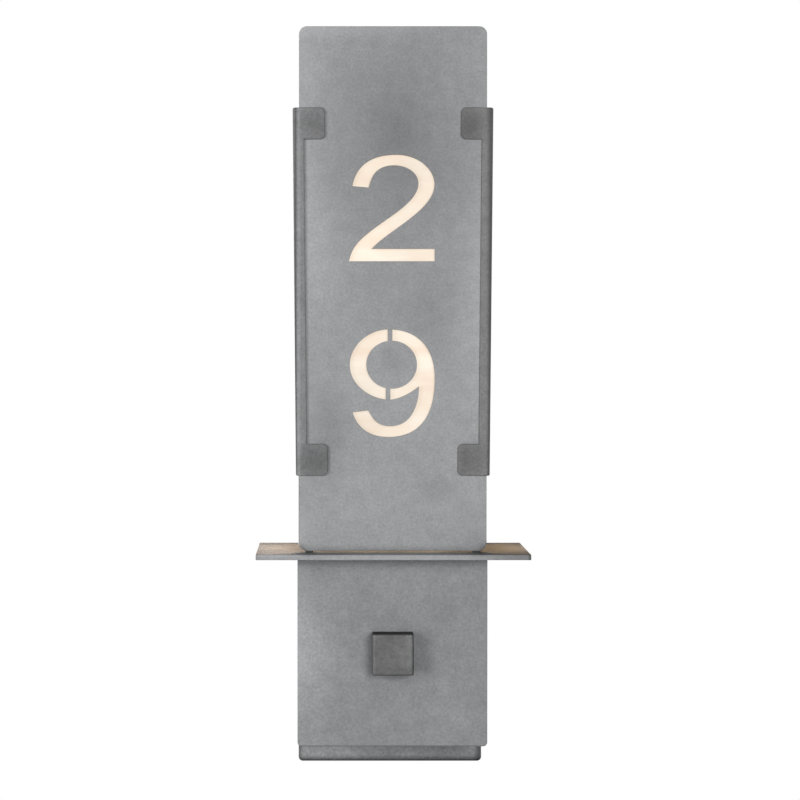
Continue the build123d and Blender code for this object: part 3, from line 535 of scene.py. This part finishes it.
def nut(across_flats, bore, height, turns=72):
    """A hexagon nut on z = 0 with chamfered corners on both faces."""
    flat = across_flats / 2
    shoulder = flat * 0.96
    columns = []
    for turn in range(turns):
        angle = 2 * math.pi * turn / turns
        corner = flat / math.cos((angle + math.pi / 6) % (math.pi / 3) - math.pi / 6)
        fall = (corner - shoulder) * math.tan(math.radians(30))
        spots = [
            (bore, 0.0),
            (shoulder, 0.0),
            (corner, fall),
            (corner, height - fall),
            (shoulder, height),
            (bore, height),
        ]
        columns.append(
            [Vector((radius * math.cos(angle), radius * math.sin(angle), level)) for radius, level in spots]
        )
    return skin(list(zip(*columns)), closed=True)


# Degrees that each screw or nut is turned further than the one before it, as hands leave them
twist_step = 37
sharp_angle = math.radians(32)


def place(name, node, data, axis, drop, body, slot):
    """One object with a copy of a mesh at every solid of a CAD node, which it then stands for.

    axis is where the mesh's z points, and its z = 0 goes a drop short of each solid's far end that way.
    """
    mesh = bmesh.new()
    for index, (low, high) in enumerate(solids_of(node)):
        copy = data.copy()
        foot = middle(low, high) + axis * (extent(low, high, axis) / 2 - drop)
        twist = Matrix.Rotation(math.radians(twist_step * index), 4, "Z")
        copy.transform(Matrix.Translation(foot) @ pointed(axis) @ twist)
        mesh.from_mesh(copy)
        bpy.data.meshes.remove(copy)
    result = bpy.data.meshes.new(name)
    mesh.to_mesh(result)
    mesh.free()
    result.materials.append(materials[slot])
    for face in result.polygons:
        face.use_smooth = True
    result.set_sharp_from_angle(angle=sharp_angle)
    piece = bpy.data.objects.new(name, result)
    bpy.context.scene.collection.objects.link(piece)
    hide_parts(node)
    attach(piece, body)


# The number panel, with the curves of its numerals drawn smooth

def outline(start, *stretches, steps=20):
    """A closed outline of straight stretches, given by their end, and curves, by two pulls and their end."""
    points = [start]
    for stretch in stretches:
        if len(stretch) == 1:
            points.append(stretch[0])
            continue
        spots = (points[-1], *stretch)
        for index in range(1, steps + 1):
            along = index / steps
            left = 1 - along
            weights = (left ** 3, 3 * along * left ** 2, 3 * left * along ** 2, along ** 3)
            points.append(
                tuple(sum(weight * spot[axis] for weight, spot in zip(weights, spots)) for axis in (0, 1))
            )
    return points[:-1]


def prism(points, base):
    """A cutter through the panel; its points are in hundredths of a numeral's height above its base."""
    unit = numeral_height / 100
    rings = [
        [Vector((unit * across, level, base + unit * rise)) for across, rise in points]
        for level in (panel_low.y - panel_thickness, panel_low.y + 2 * panel_thickness)
    ]
    return skin(rings)


def rounded_slab(low, high, corner, edge, turns=12, steps=4):
    """A rounded rectangle that faces the viewer, its front edge rounded over."""
    corners = ((high.x, high.z), (low.x, high.z), (low.x, low.z), (high.x, low.z))
    levels = [(high.y, 0.0)]
    for step in range(steps + 1):
        angle = math.pi / 2 * step / steps
        levels.append((low.y + edge * (1 - math.sin(angle)), edge * (1 - math.cos(angle))))
    rings = []
    for level, inset in levels:
        ring = []
        for quarter, (x, z) in enumerate(corners):
            hub_x = x - math.copysign(corner, x)
            hub_z = z - corner if z == high.z else z + corner
            for turn in range(turns + 1):
                angle = math.pi / 2 * (quarter + turn / turns)
                reach = corner - inset
                ring.append(Vector((hub_x + reach * math.cos(angle), level, hub_z + reach * math.sin(angle))))
        rings.append(ring)
    return skin(rings)


numeral_height = 0.1
nine_base = 0.20091
two_base = 0.36431
panel_thickness = 0.0032
panel_low, panel_high = solids_of("number_panel")[0]
two_outline = outline(
    (-40.8, 0.7),
    ((38.9, 0.7),),
    ((38.9, 12.2),),
    ((-19.9, 12.2),),
    ((-4.5, 29.6), (38.7, 48.3), (38.7, 72.2)),
    ((38.7, 86.0), (24.0, 99.7), (3.5, 99.7)),
    ((-24.2, 99.7), (-34.8, 86.2), (-37.6, 70.4)),
    ((-22.6, 69.1),),
    ((-20.4, 77.6), (-17.0, 89.7), (1.1, 89.7)),
    ((13.2, 89.7), (23.7, 82.7), (23.7, 72.7)),
    ((23.7, 59.3), (6.5, 48.0), (-9.1, 37.1)),
    ((-32.5, 20.6), (-37.5, 14.5), (-40.8, 0.7)),
)
nine_outline = outline(
    (24.4, 47.8),
    ((12.5, 38.2), (1.8, 35.4), (-2.8, 35.4)),
    ((-20.2, 35.4), (-40.0, 48.7), (-40.0, 67.9)),
    ((-40.0, 84.3), (-24.1, 100.7), (-3.5, 100.7)),
    ((21.7, 100.7), (39.0, 85.1), (39.0, 54.9)),
    ((39.0, 16.0), (21.9, 0.6), (-4.3, 0.6)),
    ((-24.0, 0.6), (-34.0, 11.7), (-37.2, 23.6)),
    ((-23.0, 25.3),),
    ((-19.0, 19.0), (-16.0, 10.6), (-2.4, 10.6)),
    ((18.7, 10.6), (24.4, 32.8), (24.4, 47.8)),
)
island_turns = 64
island_across = -1.1
island_rise = 67.9
island_half_width = 23.6
island_half_height = 22.4
nine_island = [
    (island_across + island_half_width * math.cos(turn), island_rise + island_half_height * math.sin(turn))
    for turn in (2 * math.pi * index / island_turns for index in range(island_turns))
]
bridge_width = 4.3
nine_cutter = cut(prism(nine_outline, nine_base), prism(nine_island, nine_base))
for across, foot, head in ((-2.6, 85.0, 105.0), (-4.4, 30.0, 50.0)):
    left = across - bridge_width / 2
    right = across + bridge_width / 2
    bridge = prism([(left, foot), (right, foot), (right, head), (left, head)], nine_base)
    nine_cutter = cut(nine_cutter, bridge)
panel_back = Vector((panel_high.x, panel_low.y + panel_thickness, panel_high.z))
stencil = rounded_slab(panel_low, panel_back, corner=0.0075, edge=0.0005)
for cutter in (prism(two_outline, two_base), nine_cutter):
    stencil = cut(stencil, cutter)
weld_stud = skin(thread_rings(crest=0.0015, root=0.0012, pitch=0.0005, length=panel_high.y - panel_back.y))
weld_stud.transform(pointed(front))
for low, high in solids_of("diffuser_nuts"):
    stud = weld_stud.copy()
    stud.transform(Matrix.Translation((middle(low, high).x, panel_back.y, middle(low, high).z)))
    stencil = joined(stencil, stud)
stencil.materials.append(number_coat)
panel = bpy.data.objects.new("number_panel_stencil", stencil)
bpy.context.scene.collection.objects.link(panel)
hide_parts("number_panel")
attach(panel, "face")


# Threaded screws and chamfered nuts

large_screw = {"head_radius": 0.004, "head_height": 0.0026, "shank_radius": 0.002, "pitch": 0.0008}
small_screw = {"head_radius": 0.0028, "head_height": 0.0018, "shank_radius": 0.0015, "pitch": 0.0006}
for node, axis, sizes, recess, slot in (
    ("bracket_screws", front, large_screw, "crosshead", "zinc"),
    ("wiring_box_screws", front, large_screw, "crosshead", "zinc"),
    ("socket_bracket_screws", front, large_screw, "crosshead", "zinc"),
    ("shelf_screws", up, large_screw, "crosshead", "zinc"),
    ("ground_screw", front, large_screw, "slotted", "earth_green"),
    ("terminal_block_screws", front, small_screw, "slotted", "zinc"),
    ("lower_socket_screws", down, small_screw, "slotted", "zinc"),
    ("upper_socket_screws", down, small_screw, "slotted", "zinc"),
):
    head_height = sizes["head_height"]
    shank = extent(*solids_of(node)[0], axis) - head_height
    data = screw(**sizes, length=shank, crossed=recess == "crosshead")
    place(f"{node}_{recess}", node, data, axis, head_height, "frame", slot)

for node, axis, across_flats, bore, body in (
    ("pan_nuts", front, 0.007, 0.00205, "frame"),
    ("stud_locknut", front, 0.0143, 0.00493, "frame"),
    ("diffuser_nuts", front, 0.0055, 0.00155, "face"),
    ("shelf_nuts", up, 0.007, 0.00205, "frame"),
):
    height = extent(*solids_of(node)[0], axis)
    place(f"{node}_chamfered", node, nut(across_flats, bore, height), axis, height, body, "zinc")


# Camera, at the photograph's distance and height

camera_data = bpy.data.cameras.new("camera")
camera_data.sensor_width = 36.0
camera_data.lens = 80.98
picture_side = 800.0
focal_pixels = camera_data.lens / camera_data.sensor_width * picture_side

# Where the picture has the wall point straight ahead of the camera, in pixels from the picture's middle
wall_point_right = -72.6
wall_point_up = 59.35
tilt = math.radians(-0.76)
camera_data.shift_x = -wall_point_right / picture_side
camera_data.shift_y = -(wall_point_up + focal_pixels * math.tan(tilt)) / picture_side
camera = bpy.data.objects.new("camera", camera_data)
camera.location = (-0.0609, -1.757, 0.2912)
camera.rotation_euler = (math.radians(90) + tilt, 0.0, 0.0)
bpy.context.scene.collection.objects.link(camera)
bpy.context.scene.camera = camera


# Studio

def area_light(name, place_at, aim_at, width, height, watts, colour=(1.0, 1.0, 1.0)):
    """A soft rectangular lamp that points at a spot."""
    data = bpy.data.lights.new(name, "AREA")
    data.shape = "RECTANGLE"
    data.size = width
    data.size_y = height
    data.energy = watts
    data.color = colour
    light = bpy.data.objects.new(name, data)
    light.location = place_at
    light.rotation_mode = "QUATERNION"
    light.rotation_quaternion = (Vector(aim_at) - Vector(place_at)).to_track_quat("-Z", "Y")
    bpy.context.scene.collection.objects.link(light)
    return light


def studio_lamp(name, azimuth, elevation, width, height, watts):
    """A large lamp on a circle round the sconce; azimuth 0 is in front, and 90 to the viewer's right."""
    aim = Vector((0.0, -0.05, 0.23))
    distance = 2.2
    level = distance * math.cos(math.radians(elevation))
    around = math.radians(azimuth)
    rise = distance * math.sin(math.radians(elevation))
    place_at = aim + Vector((level * math.sin(around), -level * math.cos(around), rise))
    area_light(name, place_at, aim, width, height, watts)


for name, azimuth, elevation, width, height, watts in (
    ("key", -47.0, 4.0, 0.9, 1.5, 28.0),
    ("fill", 17.0, 8.0, 0.9, 0.9, 30.0),
    ("rear_left", -150.0, 12.0, 0.9, 0.9, 22.0),
    ("rear_right", 115.0, -12.0, 0.9, 0.9, 12.0),
):
    studio_lamp(name, azimuth, elevation, width, height, watts)

# What the lamps inside throw on the shelf: a little under the panel, and more out at each side
area_light(
    "spill_middle",
    place_at=(0.0, -0.045, 0.16),
    aim_at=(0.0, -0.045, 0.0),
    width=0.15,
    height=0.05,
    watts=0.1,
    colour=(1.0, 0.7, 0.42),
)
for name, side, watts, colour in (
    ("spill_left", -1, 0.032, (1.0, 0.81, 0.66)),
    ("spill_right", 1, 0.013, (1.0, 0.62, 0.24)),
):
    lamp = area_light(
        name,
        place_at=(side * 0.07, -0.045, 0.175),
        aim_at=(side * 0.13, -0.05, 0.094),
        width=0.06,
        height=0.03,
        watts=watts,
        colour=colour,
    )
    lamp.data.spread = math.radians(105)

# A white world that the camera sees in full, and that lights the sconce only weakly
world = bpy.data.worlds.new("studio")
bpy.context.scene.world = world
world.use_nodes = True
tree = world.node_tree
tree.nodes.clear()
white = (1.0, 1.0, 1.0, 1.0)
ambient = add_node(tree, "ShaderNodeBackground", Color=white, Strength=0.08)
backdrop = add_node(tree, "ShaderNodeBackground", Color=white, Strength=1.0)
path = add_node(tree, "ShaderNodeLightPath")
seen = path.outputs["Is Camera Ray"]
for ray in ("Is Glossy Ray", "Is Transmission Ray"):
    either = add_node(tree, "ShaderNodeMath", operation="MAXIMUM")
    tree.links.new(seen, either.inputs[0])
    tree.links.new(path.outputs[ray], either.inputs[1])
    seen = either.outputs["Value"]
choice = add_node(tree, "ShaderNodeMixShader")
tree.links.new(seen, choice.inputs["Fac"])
tree.links.new(ambient.outputs["Background"], choice.inputs[1])
tree.links.new(backdrop.outputs["Background"], choice.inputs[2])
output = add_node(tree, "ShaderNodeOutputWorld")
tree.links.new(choice.outputs["Shader"], output.inputs["Surface"])

# A pale round floor, well below the sconce, that fades out at its edge
floor_radius = 1.15
floor_level = -0.62
mesh = bmesh.new()
bmesh.ops.create_circle(mesh, cap_ends=True, segments=96, radius=floor_radius)
data = bpy.data.meshes.new("floor")
mesh.to_mesh(data)
mesh.free()
floor = bpy.data.objects.new("floor", data)
floor.location = (0.0, -0.05, floor_level)
bpy.context.scene.collection.objects.link(floor)
floor_paint, tree, shader = new_material("floor_paint", Roughness=0.8)
grain = noise(tree, scale=40.0)
tree.links.new(tone(tree, (0.86, 0.86, 0.86), vary(tree, grain, swing=0.015)), shader.inputs["Base Color"])
near = nearness(tree, (0.0, 0.0, 0.0), (floor_radius, floor_radius, floor_radius))
fade = spread(tree, near, 0.0, 1.0, from_low=0.0, from_high=0.5, smooth=True)
tree.links.new(fade, shader.inputs["Alpha"])
data.materials.append(floor_paint)

bpy.context.scene.view_settings.view_transform = "Standard"
